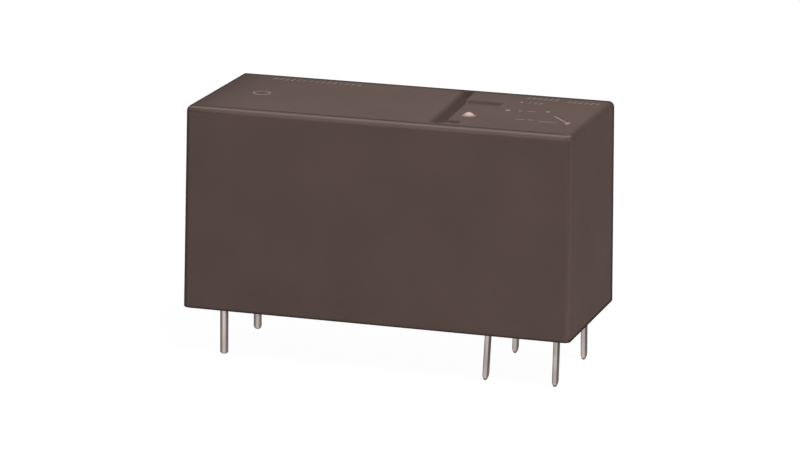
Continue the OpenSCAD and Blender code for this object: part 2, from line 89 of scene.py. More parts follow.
# %% Camera at the viewing angle
IMAGE_W = 800
SENSOR_W = 36.0
FOCAL_PX = 4053.0
AZIMUTH = math.radians(17.056)
ELEVATION = math.radians(14.122)
ROLL = math.radians(0.721)
DISTANCE = 292.01 * MM
AIM = Vector((-0.013, 0.0, 6.123)) * MM
CLIP_START = 10 * MM


def heading(azimuth, elevation):
    """Unit vector from the relay towards a viewer or a lamp: azimuth 0 is the front, 90 the right end."""
    flat = math.cos(elevation)
    return Vector((math.sin(azimuth) * flat, -math.cos(azimuth) * flat, math.sin(elevation)))


def set_camera():
    """Camera with its axes in the columns of its matrix."""
    camera = bpy.data.objects.new("camera", bpy.data.cameras.new("camera"))
    scene.collection.objects.link(camera)
    back = heading(AZIMUTH, ELEVATION)
    level = Vector((math.cos(AZIMUTH), math.sin(AZIMUTH), 0.0))
    right = Matrix.Rotation(ROLL, 3, back) @ level
    camera.matrix_world = Matrix((right, back.cross(right), back)).transposed().to_4x4()
    camera.location = AIM + back * DISTANCE
    camera.data.sensor_width = SENSOR_W
    camera.data.lens = SENSOR_W * FOCAL_PX / IMAGE_W
    camera.data.clip_start = CLIP_START
    scene.camera = camera
    return camera


print("lens in mm:", round(set_camera().data.lens, 1))

# %% [markdown]
# ## Floor and light
# The relay stands on its pins on a white sheet that curves up far away. To the camera and to reflections
# the sheet glows at almost full strength, and a thin diffuse layer on it keeps the shadow. For the light
# that bounces back to the relay it is only a pale floor, so its glow never lights the object. Every
# finish in this file is a small net of shader nodes: one helper adds a node with its settings and its
# inputs in one call, so that a material reads from top to bottom like a recipe.

# %% Finish of the white sheet
FLOOR_GLOW = 0.975
SHADOW_TONE = 0.05
BOUNCE_TONE = 0.30


def feed(tree, node, links):
    """Links or fills a node's inputs."""
    for socket, value in links.items():
        if isinstance(value, bpy.types.NodeSocket):
            tree.links.new(value, node.inputs[socket])
        else:
            node.inputs[socket].default_value = value


def add_node(tree, kind, links=None, **settings):
    """New node with its own settings and its inputs."""
    node = tree.nodes.new(kind)
    for name, value in settings.items():
        setattr(node, name, value)
    feed(tree, node, links or {})
    return node


def new_material(name):
    """Material with its tree and its main shader."""
    material = bpy.data.materials.new(name)
    material.use_nodes = True
    tree = material.node_tree
    return material, tree, tree.nodes["Principled BSDF"]


def floor_finish():
    """White to the camera and to reflections, pale to bounced light."""
    material, tree, shader = new_material("white_sheet")
    tree.nodes.remove(shader)
    path = add_node(tree, "ShaderNodeLightPath")
    seen = path.outputs["Is Camera Ray"]
    for ray in ("Is Glossy Ray", "Is Transmission Ray"):
        seen = add_node(tree, "ShaderNodeMath", {0: seen, 1: path.outputs[ray]}, use_clamp=True).outputs[0]
    glow = add_node(tree, "ShaderNodeEmission", {"Strength": FLOOR_GLOW})
    shadow = add_node(tree, "ShaderNodeBsdfDiffuse", {"Color": (*[SHADOW_TONE] * 3, 1.0)})
    bounce = add_node(tree, "ShaderNodeBsdfDiffuse", {"Color": (*[BOUNCE_TONE] * 3, 1.0)})
    white = add_node(tree, "ShaderNodeAddShader", {0: glow.outputs[0], 1: shadow.outputs[0]})
    both = add_node(tree, "ShaderNodeMixShader", {0: seen, 1: bounce.outputs[0], 2: white.outputs[0]})
    feed(tree, tree.nodes["Material Output"], {"Surface": both.outputs[0]})
    return material


white_sheet = floor_finish()
print("nodes of the white sheet:", len(white_sheet.node_tree.nodes))

# %% [markdown]
# The sheet is a disc with a cove, turned on a lathe. The same lathe turns the pins, the rivets and the
# collars further down: it sets a ring of points for each step of a profile and skins them.

# %% Sheet under the relay
FLOOR_R = 2000.0
COVE_H = 300.0
COVE_W = 400.0
COVE_STEPS = 8
FLOOR_SIDES = 64
SHARP = math.radians(35)


def join_rings(mesh, lower, upper):
    """Skins two rings of as many points with quads."""
    for this in range(len(lower)):
        that = (this + 1) % len(lower)
        mesh.faces.new((lower[this], lower[that], upper[that], upper[this]))


def lathe(mesh, profile, place, sides, axis="Z"):
    """Turns a profile of (radius, height) points about an axis through a place, and gives its rings."""
    rings = []
    for radius, height in profile:
        ring = []
        for step in range(sides):
            turn = 2 * math.pi * step / sides
            u, v = radius * math.cos(turn), radius * math.sin(turn)
            spot = Vector((u, v, height)) if axis == "Z" else Vector((height, u, v))
            ring.append(mesh.verts.new((Vector(place) + spot) * MM))
        rings.append(ring)
    for lower, upper in pairwise(rings):
        join_rings(mesh, lower, upper)
    return rings


def finish_mesh(mesh, name, sharp=False):
    """Smooth object from a bmesh, with crisp edges where asked."""
    data = bpy.data.meshes.new(name)
    mesh.to_mesh(data)
    mesh.free()
    data.shade_smooth()
    if sharp:
        data.set_sharp_from_angle(angle=SHARP)
    piece = bpy.data.objects.new(name, data)
    scene.collection.objects.link(piece)
    return piece


def lay_floor():
    """Round sheet with a cove at its rim."""
    mesh = bmesh.new()
    profile = [(FLOOR_R - COVE_W, 0.0)]
    for step in range(1, COVE_STEPS + 1):
        rise = math.pi / 2 * step / COVE_STEPS
        profile.append((FLOOR_R - COVE_W * (1 - math.sin(rise)), COVE_H * (1 - math.cos(rise))))
    rings = lathe(mesh, profile, (0.0, 0.0, cad_box[0].z / MM), FLOOR_SIDES)
    mesh.faces.new(reversed(rings[0]))
    bmesh.ops.reverse_faces(mesh, faces=mesh.faces)
    floor = finish_mesh(mesh, "floor")
    floor.data.materials.append(white_sheet)


lay_floor()
print("floor at mm:", round(cad_box[0].z / MM, 2))

# %% [markdown]
# One warm soft box hangs above the relay's front right. It makes the roof the brightest face, and the
# right wall a little brighter than the front. A weak one behind lights the far side, and a dim grey world
# fills the shadows.

# %% Lamps and world
# Name, azimuth, elevation, distance and size in metres, power in watts
LAMPS = (
    ("soft_box_key", 43, 51.5, 0.45, 0.20, 2.72),
    ("soft_box_behind", 215, 35, 0.7, 0.30, 0.9),
)
WARM = (1.0, 0.965, 0.85)
WORLD_TONE = (0.20, 0.225, 0.295)


def hang_lamps():
    """Square area lamps that look at the relay."""
    for name, azimuth, elevation, distance, size, power in LAMPS:
        lamp = bpy.data.objects.new(name, bpy.data.lights.new(name, "AREA"))
        scene.collection.objects.link(lamp)
        towards = heading(math.radians(azimuth), math.radians(elevation))
        lamp.location = AIM + towards * distance
        lamp.rotation_euler = towards.to_track_quat("Z", "Y").to_euler()
        lamp.data.size = size
        lamp.data.energy = power
        lamp.data.color = WARM
    world = bpy.data.worlds.new("studio")
    world.use_nodes = True
    world.node_tree.nodes["Background"].inputs["Color"].default_value = (*WORLD_TONE, 1.0)
    scene.world = world


hang_lamps()
print("lamps:", len(LAMPS))

# %% [markdown]
# ## Finishes
# The base is moulded in a dark brown thermoplastic, and the coil former and the card in cream ones. One
# recipe makes them all: a slow mottle for colour, a fine grain for bump, and a roughness that wanders a
# little. An image could do this too, but noise in the piece's own coordinates needs no unwrapping and has
# no seams.

# %% Moulded plastics
MOTTLE_SIZE = 6.0
GRAIN_SIZE = 0.12
GRAIN_DEPTH = 0.004
GRAIN_DETAIL = 3.0
ROUGHNESS_SWAY = 0.06
PLAIN_GLOSS = 0.2
PLAIN_MOTTLE = 0.05


def noise(tree, size, detail=2.0, stretch=(1.0, 1.0, 1.0)):
    """Noise in the piece's own coordinates, with features of about that size."""
    place = add_node(tree, "ShaderNodeTexCoord").outputs["Object"]
    turned = add_node(tree, "ShaderNodeMapping", {"Vector": place, "Scale": stretch})
    links = {"Vector": turned.outputs["Vector"], "Scale": 1 / (size * MM), "Detail": detail}
    return add_node(tree, "ShaderNodeTexNoise", links).outputs["Fac"]


def spread(tree, value, low, high, start=0.3, end=0.7):
    """Value from start to end stretched over low to high."""
    links = {"Value": value, "From Min": start, "From Max": end, "To Min": low, "To Max": high}
    return add_node(tree, "ShaderNodeMapRange", links).outputs["Result"]


def calculate(tree, operation, first, second):
    """Result of one operation on two values."""
    return add_node(tree, "ShaderNodeMath", {0: first, 1: second}, operation=operation).outputs[0]


def stored_value(tree, name):
    """Value that is stored on the mesh under a name."""
    return add_node(tree, "ShaderNodeAttribute", attribute_name=name).outputs["Fac"]


def mix_colour(tree, amount, first, second):
    """Colour between two others. The mix node's sockets share their names, so they go by number."""
    links = {0: amount}
    for socket, colour in ((6, first), (7, second)):
        links[socket] = colour if isinstance(colour, bpy.types.NodeSocket) else (*colour, 1.0)
    return add_node(tree, "ShaderNodeMix", links, data_type="RGBA").outputs[2]


def bump(tree, height, depth):
    """Normal of a surface with bumps of that depth."""
    return add_node(tree, "ShaderNodeBump", {"Height": height, "Distance": depth * MM}).outputs["Normal"]


def tint(colour, factor):
    """A lighter or darker tone of a colour."""
    return tuple(channel * factor for channel in colour)


def moulded_plastic(name, colour, roughness, gloss=PLAIN_GLOSS, mottle=PLAIN_MOTTLE, stored=()):
    """Matt thermoplastic with a fine grain. Values that are stored on the mesh may change its colour."""
    material, tree, shader = new_material(name)
    slow = spread(tree, noise(tree, MOTTLE_SIZE, GRAIN_DETAIL), 0.0, 1.0)
    fine = noise(tree, GRAIN_SIZE, GRAIN_DETAIL)
    tone = mix_colour(tree, slow, tint(colour, 1 - mottle), tint(colour, 1 + mottle))
    for value, other in stored:
        tone = mix_colour(tree, stored_value(tree, value), tone, other)
    feed(tree, shader, {
        "Base Color": tone,
        "Roughness": spread(tree, fine, roughness - ROUGHNESS_SWAY, roughness + ROUGHNESS_SWAY),
        "Specular IOR Level": gloss,
        "Normal": bump(tree, fine, GRAIN_DEPTH),
    })
    return material


FINISH = {
    "base_plastic": moulded_plastic("base_plastic", (0.060, 0.042, 0.040), 0.55),
    "bobbin_plastic": moulded_plastic("bobbin_plastic", (0.70, 0.66, 0.55), 0.45),
    "card_plastic": moulded_plastic("card_plastic", (0.78, 0.74, 0.60), 0.42),
}
print("plastics:", sorted(FINISH))

# %% [markdown]
# The cover is the same recipe in a warm, very matt brown, and it reads values that are stored on its
# mesh. They paint shade into the groove and along the outer edges, paint a highlight along the front
# edge, and pale the tip of the vent nib. Where the painted shade on an edge is darkest, the edge also
# loses its last gloss. The pale ink of the printed marks is thin, so its colour is uneven.

# %% Cover plastic and ink
CASE_BROWN = (0.100, 0.0695, 0.0645)
# Tones of the painted highlight on the front edge and of the pale tip of the nib
GLEAM_PALE = (0.150, 0.114, 0.109)
NIB_PALE = (0.46, 0.37, 0.345)
# Shares of the brown kept in the painted shade of the groove and of the outer edges
GROOVE_SHADE = 0.3
EDGE_SHADE = 0.05
# Stored value and the colour that it brings, in the order in which they are laid over the brown
# The groove and edge tones are painted shade, and the gleam tone is a painted highlight
CASE_TONES = (
    ("groove", tint(CASE_BROWN, GROOVE_SHADE)), ("edge", tint(CASE_BROWN, EDGE_SHADE)),
    ("gleam", GLEAM_PALE), ("nib", NIB_PALE),
)
CASE_ROUGHNESS = 0.65
CASE_GLOSS = 0.015
DULL_POWER = 4.0
INK_PALE = (0.24, 0.185, 0.175)
INK_FAINT = (0.178, 0.138, 0.131)
INK_MOTTLE = 0.2


def case_finish():
    """Brown plastic of the cover, dull where its painted edge shade is darkest."""
    material = moulded_plastic("case_plastic", CASE_BROWN, CASE_ROUGHNESS, CASE_GLOSS, stored=CASE_TONES)
    tree = material.node_tree
    dull = calculate(tree, "POWER", stored_value(tree, "edge"), DULL_POWER)
    gloss = spread(tree, dull, CASE_GLOSS, 0.0, 0.0, 1.0)
    feed(tree, tree.nodes["Principled BSDF"], {"Specular IOR Level": gloss})
    return material


FINISH["case_plastic"] = case_finish()
for name, colour in (("ink", INK_PALE), ("faint_ink", INK_FAINT)):
    FINISH[name] = moulded_plastic(name, colour, CASE_ROUGHNESS, CASE_GLOSS, INK_MOTTLE)
print("nodes of the cover's finish:", len(FINISH["case_plastic"].node_tree.nodes))

# %% [markdown]
# Metals differ in colour, in how they were rolled or plated, and in how much they scatter. The pins are
# tin over copper alloy: a warm grey with streaks along the pin, and a painted reflection that is bright
# towards front and rear and dark beside them, which a value on the mesh tells. Iron parts are zinc
# plated, the contact spring is bare copper alloy, and the contacts are pale silver. A streak is noise
# that is stretched along Z.

# %% Metals
# Light tone, dark tone, roughness and strength of the reflection at the rim
# On tin the light and dark tones are a painted reflection, laid out by a value on the mesh
METALS = {
    "tinned_metal": ((0.64, 0.555, 0.53), (0.105, 0.082, 0.076), 0.36, 0.45),
    "soft_iron": ((0.62, 0.63, 0.66), (0.44, 0.45, 0.48), 0.34, 0.75),
    "spring_steel": ((0.66, 0.66, 0.64), (0.50, 0.50, 0.50), 0.26, 0.75),
    "copper_alloy": ((0.76, 0.44, 0.24), (0.60, 0.33, 0.18), 0.30, 0.75),
    "rivet_metal": ((0.70, 0.69, 0.66), (0.55, 0.54, 0.52), 0.30, 0.75),
    "contact_metal": ((0.80, 0.79, 0.76), (0.66, 0.65, 0.62), 0.24, 0.75),
}
STREAK = 0.25
STREAK_STRETCH = (1.0, 1.0, 0.12)
STREAK_DEPTH = 0.002
STREAK_DETAIL = 3.0
CLOUD = 1.5
POLISH_SWAY = 0.07
# Range of the streaks that counts from dull to bright, on plain metal and on tin, and the least on tin
STREAK_RANGE = (0.15, 0.38)
WORN_RANGE = (0.15, 0.33)
WORN_LEAST = 0.65


def worked_metal(name, light, dark, roughness, rim):
    """Metal with streaks along Z and uneven polish. On tin a stored value lays out a painted reflection."""
    material, tree, shader = new_material(name)
    streaks = noise(tree, STREAK, STREAK_DETAIL, STREAK_STRETCH)
    blend = calculate(tree, "MULTIPLY", streaks, noise(tree, CLOUD))
    if name == "tinned_metal":
        worn = spread(tree, blend, WORN_LEAST, 1.0, *WORN_RANGE)
        amount = calculate(tree, "MULTIPLY", stored_value(tree, "painted_sheen"), worn)
    else:
        amount = spread(tree, blend, 0.0, 1.0, *STREAK_RANGE)
    feed(tree, shader, {
        "Base Color": mix_colour(tree, amount, dark, light),
        "Roughness": spread(tree, streaks, roughness - POLISH_SWAY, roughness + POLISH_SWAY),
        "Metallic": 1.0,
        "Specular Tint": (rim, rim, rim, 1.0),
        "Normal": bump(tree, streaks, STREAK_DEPTH),
    })
    return material


for name, recipe in METALS.items():
    FINISH[name] = worked_metal(name, *recipe)
print("metals:", list(METALS))

# %% [markdown]
# Three finishes are left, all smooth under a clear gloss. Cast resin is dark and slightly wavy, enamelled
# wire is copper under its varnish, and the film round the winding is amber.

# %% Resin, wire and film
# Light tone, dark tone, roughness, metal share, coat, and size and depth of the waves
COATED = {
    "resin": ((0.035, 0.031, 0.030), (0.022, 0.020, 0.020), 0.25, 0.0, 0.3, 2.2, 0.05),
    "copper_wire": ((0.72, 0.33, 0.14), (0.55, 0.22, 0.09), 0.25, 0.9, 0.5, 0.6, 0.002),
    "film": ((0.62, 0.33, 0.03), (0.52, 0.26, 0.02), 0.22, 0.0, 0.4, 1.5, 0.01),
}
COAT_ROUGHNESS = 0.12
WAVE_SWAY = 0.2


def coated(name, light, dark, roughness, metallic, coat, size, depth):
    """Smooth finish under a clear gloss."""
    material, tree, shader = new_material(name)
    waves = noise(tree, size)
    feed(tree, shader, {
        "Base Color": mix_colour(tree, spread(tree, waves, 0.0, 1.0), dark, light),
        "Roughness": spread(tree, waves, roughness * (1 - WAVE_SWAY), roughness * (1 + WAVE_SWAY)),
        "Metallic": metallic,
        "Coat Weight": coat,
        "Coat Roughness": COAT_ROUGHNESS,
        "Normal": bump(tree, waves, depth),
    })
    return material


for name, recipe in COATED.items():
    FINISH[name] = coated(name, *recipe)
print("finishes:", len(FINISH))

# %% [markdown]
# ## The cover
# The cover is one moulding: leaning walls, rounded corners and edges, and a roof with a groove, a shallow
# pocket, a slot and a vent nib. Booleans would leave hard, untidy edges there, so the roof is a grid
# whose height follows a formula with soft steps, and the walls are rings that run from the ceiling
# inside, round the rim, up the outside and over the edge on to that grid.

# %% Sizes of the cover
case_low, case_high = (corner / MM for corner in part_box("case"))
END_LEAN = 0.2
SIDE_LEAN = 0.1
CORNER_R = 0.4
TIGHT_R = 0.03
EDGE_R = 0.45
RIM_R = 0.12
WALL = 0.8
ROOF = 0.8
INNER_R = 0.2
GROOVE_X = (3.13, 4.2)
GROOVE_SLOPE = 0.25
GROOVE_SLANT = 0.06
GROOVE_Y = (-5.35, 5.35)
GROOVE_DEPTH = 0.4
POCKET_RIGHT = 6.8
POCKET_Y = (-5.15, 2.5)
POCKET_DEPTH = 0.25
SLOT_X = (4.3, 5.3)
SLOT_Y = (-3.85, -3.15)
SLOT_DEPTH = 0.2
NIB = Vector((5.38, -1.35))
NIB_R = 0.62
SOFT = 0.09
ROOF_INSET = 0.05
top_l = case_high.x - END_LEAN - EDGE_R - ROOF_INSET
top_w = case_high.y - SIDE_LEAN - EDGE_R - ROOF_INSET
print("flat roof in mm:", round(2 * top_l, 2), round(2 * top_w, 2))

# %% [markdown]
# A point of the roof drops in the groove, in the pocket and in the slot, and stays up under the nib. Each
# of them is a product of soft steps along X and along Y. The shade in them is made the same way, a little
# wider.

# %% Heights and shades of the roof
# Strengths of the painted shade in the groove, in the slot and under the rear pad
GROOVE_TONE = 0.66
SLOT_TONE = 0.95
PAD_TONE = 0.3
TONE_SOFT = 0.16


def bell(value, middle, half):
    """1 in the middle of a band and 0 at its ends."""
    share = min(abs(value - middle) / half, 1.0)
    return (1 + math.cos(math.pi * share)) / 2


def step_up(edge, value, soft=SOFT):
    """0 before an edge, 1 after it, with a soft change."""
    share = min(max((value - edge) / (2 * soft) + 0.5, 0.0), 1.0)
    return share * share * (3 - 2 * share)


def inside(limits, value, soft=SOFT):
    """1 between two limits and 0 outside them."""
    return step_up(limits[0], value, soft) - step_up(limits[1], value, soft)


def slanted(x, y):
    """Place across the roof as the groove counts it, since the groove stands a little askew."""
    return x + GROOVE_SLANT * (y - NIB.y)


def nib_share(x, y):
    """1 at the top of the vent nib and 0 beyond its foot."""
    return bell((Vector((x, y)) - NIB).length, 0.0, NIB_R)


def roof_drop(x, y):
    """Depth of the roof below its top."""
    slope = step_up(GROOVE_X[0] + GROOVE_SLOPE, slanted(x, y), GROOVE_SLOPE)
    bank = step_up(GROOVE_X[1], slanted(x, y))
    groove = (slope - bank) * inside(GROOVE_Y, y)
    pocket = (bank - step_up(POCKET_RIGHT, x)) * inside(POCKET_Y, y)
    slot = inside(SLOT_X, x) * inside(SLOT_Y, y)
    drop = GROOVE_DEPTH * groove + POCKET_DEPTH * pocket + SLOT_DEPTH * slot
    return drop * (1 - nib_share(x, y))


def shade_share(x, y):
    """Strength of the shade in the slot, in the groove and under the rear pad."""
    groove = inside((GROOVE_X[0] + GROOVE_SLOPE, GROOVE_X[1]), slanted(x, y), TONE_SOFT)
    groove *= inside(GROOVE_Y, y, TONE_SOFT)
    slot = inside(SLOT_X, x) * inside(SLOT_Y, y)
    pad = inside((GROOVE_X[1], POCKET_RIGHT), x) * bell(y, POCKET_Y[1], TONE_SOFT)
    return max(GROOVE_TONE * groove, SLOT_TONE * slot, PAD_TONE * pad)


print("drop in the groove in mm:", round(roof_drop(sum(GROOVE_X) / 2, 0.0), 2))

# %% [markdown]
# The rings and the roof share their lines, so that they join without a gap. The lines stand close
# together at the edges of the relief and all over the groove and the nib, and far apart elsewhere.

# %% Rings of the cover
CORNER_STEPS = 8
EDGE_STEPS = 12
RIM_STEPS = 6
COARSE = 0.9
FINE = 0.05
SUPPORT = 0.02
# Lines beside the roof's border, above the rim and at an edge of the relief, the last in shares of SOFT
BORDER = (SUPPORT, 0.1, 0.2, 0.35)
WALL_LIFTS = (0.02, 0.08, 0.15, 0.25)
TIGHT = (-1.4, -1.0, -0.7, -0.4, -0.15, 0.15, 0.4, 0.7, 1.0, 1.4)
PATCH_LEAD = 0.5


def grid_lines(half, edges, patch):
    """Shares from -1 to 1 with lines close together at the relief's edges and all over a patch."""
    count = math.ceil(2 * half / COARSE)
    lines = {round(2 * half * step / count - half, 3) for step in range(count + 1)}
    lines |= {round(edge + SOFT * share, 3) for edge in edges for share in TIGHT}
    steps = math.ceil((patch[1] - patch[0]) / FINE)
    lines |= {round(patch[0] + (patch[1] - patch[0]) * step / steps, 3) for step in range(steps + 1)}
    lines |= {side * (half - inset) for side in (-1, 1) for inset in BORDER}
    kept = [-half]
    for line in sorted(lines):
        if SUPPORT / 2 < line - kept[-1] and line < half - SUPPORT / 2:
            kept.append(line)
    return [line / half for line in kept + [half]]


def ring_points(half_l, half_w, radius, x_shares, y_shares):
    """Round rectangle from its front left, as four sides with the corners after them."""
    points = []
    for turn in range(4):
        along, across, shares = (half_w, half_l, y_shares) if turn % 2 else (half_l, half_w, x_shares)
        quarter = Matrix.Rotation(turn * math.pi / 2, 2)
        side = shares if turn < 2 else [-share for share in reversed(shares)]
        points += [quarter @ Vector(((along - radius) * share, -across)) for share in side]
        for step in range(1, CORNER_STEPS):
            angle = math.pi / 2 * step / CORNER_STEPS
            bend = Vector((math.sin(angle), -math.cos(angle))) * radius
            points.append(quarter @ (Vector((along - radius, radius - across)) + bend))
    return points


def ring_steps():
    """Inset, corner radius and height of each ring, from the ceiling inside to the edge of the roof."""
    rim, top = case_low.z, case_high.z
    steps = [(WALL, INNER_R, top - ROOF), (WALL, INNER_R, rim + RIM_R)]
    for step in range(RIM_STEPS + 1):
        angle = math.pi / 2 * step / RIM_STEPS
        steps.append((RIM_R * (1 - math.sin(angle)), CORNER_R, rim + RIM_R * (1 - math.cos(angle))))
    steps += [(0.0, CORNER_R, rim + RIM_R + lift) for lift in WALL_LIFTS]
    steps.append((0.0, CORNER_R, top - EDGE_R - SUPPORT))
    for step in range(EDGE_STEPS + 1):
        angle = math.pi / 2 * step / EDGE_STEPS
        inset = EDGE_R * (1 - math.cos(angle))
        steps.append((inset, max(CORNER_R - inset, TIGHT_R), top - EDGE_R * (1 - math.sin(angle))))
    return steps


def case_rings(mesh, *shares):
    """Walls of the cover, inside and out. The last ring is the edge of the roof."""
    lean_h = case_high.z - EDGE_R - case_low.z
    rings = []
    for inset, radius, height in ring_steps():
        lean = min((height - case_low.z) / lean_h, 1.0)
        half_l = case_high.x - END_LEAN * lean - inset
        half_w = case_high.y - SIDE_LEAN * lean - inset
        flat = ring_points(half_l, half_w, radius, *shares)
        rings.append([mesh.verts.new(Vector((*point, height)) * MM) for point in flat])
    for lower, upper in pairwise(rings):
        join_rings(mesh, lower, upper)
    mesh.faces.new(reversed(rings[0]))
    return rings[-1]


x_shares = grid_lines(top_l, (POCKET_RIGHT, *SLOT_X), (GROOVE_X[0] - PATCH_LEAD, NIB.x + NIB_R))
y_shares = grid_lines(top_w, (*GROOVE_Y, *POCKET_Y, *SLOT_Y), (NIB.y - NIB_R, NIB.y + NIB_R))
print("grid lines:", len(x_shares), len(y_shares), "rings:", len(ring_steps()))

# %% [markdown]
# Four numbers are stored on each vertex of the cover for its finish: how much painted shade it gets in
# the groove, the slot and along the pocket's rear edge, how much painted shade it gets near the outer
# edges, whether it is on the painted highlight along the front edge, and whether it is on the nib. A
# painted mask would need an unwrapped mesh, while a formula follows the shape as it is.

# %% Lines of painted shade on the cover's walls
# Strength of each line of painted shade
PAINTED_EDGE_SHADE = {
    "rim": 0.35, "toe": 1.0, "left": 0.45, "right": 0.97, "corner": 0.22, "wall": 0.06,
    "rear": 0.74, "end": 0.38, "brink": 0.85, "front": 0.46, "side": 0.34,
}
# Middle and half width of the lines that fade to both sides, in degrees for corner and side
LINE = {
    "left": (0.05, 0.18), "rear": (0.1, 0.75), "brink": (0.2, 0.4), "front": (0.09, 0.2),
    "corner": (34.0, 40.0), "side": (38.0, 62.0),
}
RIM_BAND = 0.17
TOE_BAND = 0.22
TOE_REACH = 0.12
LEFT_DEPTH = 0.45
RIGHT_IN = 0.3
RIGHT_HALVES = (0.85, 0.2)
CORNER_RISE = 0.55
CORNER_SOFT = 0.2
WALL_REACH = 0.1
WALL_SOFT = 0.08


def corner_turn(point, height):
    """Degrees that the wall has turned round the front right corner."""
    across = point.x - case_high.x + END_LEAN * height + CORNER_R
    back = point.y - case_low.y - SIDE_LEAN * height - CORNER_R
    return math.degrees(math.atan2(across, -back))


def low_band(point, band):
    """1 at the cover's lower rim and 0 above a band."""
    return 1 - step_up(case_low.z + band, point.z, band / 2)


def wall_shade_lines(point):
    """Share of each line of painted shade on the walls, by name."""
    height = (point.z - case_low.z) / (case_high.z - case_low.z)
    from_left = point.x - case_low.x - END_LEAN * height
    from_front = point.y - case_low.y
    from_rear = case_high.y - point.y
    right = case_high.x - END_LEAN
    right_half = RIGHT_HALVES[0] if from_rear > RIGHT_IN else RIGHT_HALVES[1]
    on_corner = bell(corner_turn(point, height), *LINE["corner"])
    return {
        "rim": low_band(point, RIM_BAND),
        "toe": low_band(point, TOE_BAND) * step_up(case_high.x - TOE_REACH, point.x, TOE_REACH / 2),
        "left": bell(from_left, *LINE["left"]) * (1 - step_up(LEFT_DEPTH, from_front, LEFT_DEPTH / 3)),
        "right": bell(from_rear, RIGHT_IN, right_half) * step_up(right - RIGHT_IN, point.x, RIGHT_IN / 2),
        "corner": on_corner * step_up(CORNER_RISE, height, CORNER_SOFT),
        "wall": height * step_up(right - WALL_REACH, point.x, WALL_SOFT),
    }


rim_spot = Vector((0.0, case_low.y, case_low.z))
print("shade at the middle of the rim:", PAINTED_EDGE_SHADE["rim"] * wall_shade_lines(rim_spot)["rim"])

# %% [markdown]
# The roof's edges are a quarter round. Lines of painted shade and painted highlight along them go by
# the length over the round, or by the angle that it has turned from the wall to the roof.

# %% Painted shade and highlight on the roof's edges
END_FADE = 2.1
SIDE_SOFT = 0.1
# Painted highlight along the front edge: a line, in degrees turned, and a fainter shoulder below it
GLEAM_LINE = (48.0, 18.0)
GLEAM_REACH = 0.35
GLEAM_SOFT = 0.12
SHOULDER = 0.28
SHOULDER_LINE = (18.0, 18.0)


def edge_turn(point):
    """Degrees that the surface has turned from wall to roof."""
    rise = min(max((point.z - case_high.z + EDGE_R) / EDGE_R, 0.0), 1.0)
    return math.degrees(math.asin(rise))


def past_roof(point, reach):
    """Length along the surface beyond the flat roof, below 0 on the roof itself."""
    return math.radians(90 - edge_turn(point)) * EDGE_R if reach >= 0 else reach


def roof_shade_lines(point):
    """Share of each line of painted shade on the roof's edges, by name."""
    left = case_low.x + END_LEAN + EDGE_R - point.x
    front = case_low.y + SIDE_LEAN + EDGE_R - point.y
    rear = point.y - case_high.y + SIDE_LEAN + EDGE_R
    on_side = step_up(case_high.x - END_LEAN - EDGE_R, point.x, SIDE_SOFT)
    return {
        "rear": bell(past_roof(point, rear), *LINE["rear"]),
        "end": min(math.exp(left / END_FADE), 1.0),
        "brink": bell(past_roof(point, left), *LINE["brink"]),
        "front": bell(past_roof(point, front), *LINE["front"]) * (abs(point.x) < top_l),
        "side": bell(edge_turn(point), *LINE["side"]) * on_side,
    }


def edge_shade_share(point):
    """Strength of the painted shade on the outer edges."""
    lines = wall_shade_lines(point)
    if point.z > case_high.z - EDGE_R:
        lines |= roof_shade_lines(point)
    return max(PAINTED_EDGE_SHADE[name] * share for name, share in lines.items())


def gleam_share(point):
    """1 on the line of light along the front edge."""
    on_front = point.y < case_low.y + SIDE_LEAN + EDGE_R
    reach = 1 - step_up(top_l + GLEAM_REACH, abs(point.x), GLEAM_SOFT)
    line = bell(edge_turn(point), *GLEAM_LINE)
    shoulder = SHOULDER * bell(edge_turn(point), *SHOULDER_LINE)
    return max(line, shoulder) * reach if on_front else 0.0


print("dark lines:", sorted(PAINTED_EDGE_SHADE))

# %% [markdown]
# The roof's grid is joined to the last ring, side by side, with a fan of triangles at each corner. A
# piece then gets its finish and the body that it moves with, and the node that it stands for is hidden,
# all in one call.

# %% Build the cover
NIB_REACH = 1.8


def case_roof(mesh, edge_ring):
    """Grid of the roof, joined to the ring at its edge."""
    columns = []
    for x in (share * top_l for share in x_shares):
        heights = [(share * top_w, case_high.z - roof_drop(x, share * top_w)) for share in y_shares]
        columns.append([mesh.verts.new(Vector((x, y, z)) * MM) for y, z in heights])
    for left, right in pairwise(columns):
        for step in range(len(left) - 1):
            mesh.faces.new((left[step], right[step], right[step + 1], left[step + 1]))
    front = [column[0] for column in columns]
    rear = [column[-1] for column in reversed(columns)]
    start = 0
    for border in (front, columns[-1], rear, columns[0][::-1]):
        side = edge_ring[start:start + len(border)]
        for step in range(len(border) - 1):
            mesh.faces.new((side[step], side[step + 1], border[step + 1], border[step]))
        start += len(border) + CORNER_STEPS - 1
        corner = [edge_ring[place % len(edge_ring)] for place in range(start - CORNER_STEPS, start + 1)]
        for first, second in pairwise(corner):
            mesh.faces.new((first, second, border[-1]))


def store_shares(mesh):
    """Values that the cover's finish reads."""
    layers = {name: mesh.verts.layers.float.new(name) for name in ("groove", "edge", "gleam", "nib")}
    for vertex in mesh.verts:
        point = vertex.co / MM
        on_roof = point.z > case_high.z - ROOF / 2 - GROOVE_DEPTH
        # Painted shade in recesses, the nib's pale tip, painted shade near the outer edges, and the painted
        # highlight on the front edge
        vertex[layers["groove"]] = shade_share(point.x, point.y) if on_roof else 0.0
        vertex[layers["nib"]] = min(NIB_REACH * nib_share(point.x, point.y), 1.0) if on_roof else 0.0
        vertex[layers["edge"]] = edge_shade_share(point)
        vertex[layers["gleam"]] = gleam_share(point)


def dress(piece, slot, body="housing", *nodes):
    """Gives a piece its finish and its body, and hides the nodes that it stands for."""
    piece.data.materials.clear()
    piece.data.materials.append(FINISH[slot])
    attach(piece, body)
    if nodes:
        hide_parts(*nodes)
    return piece


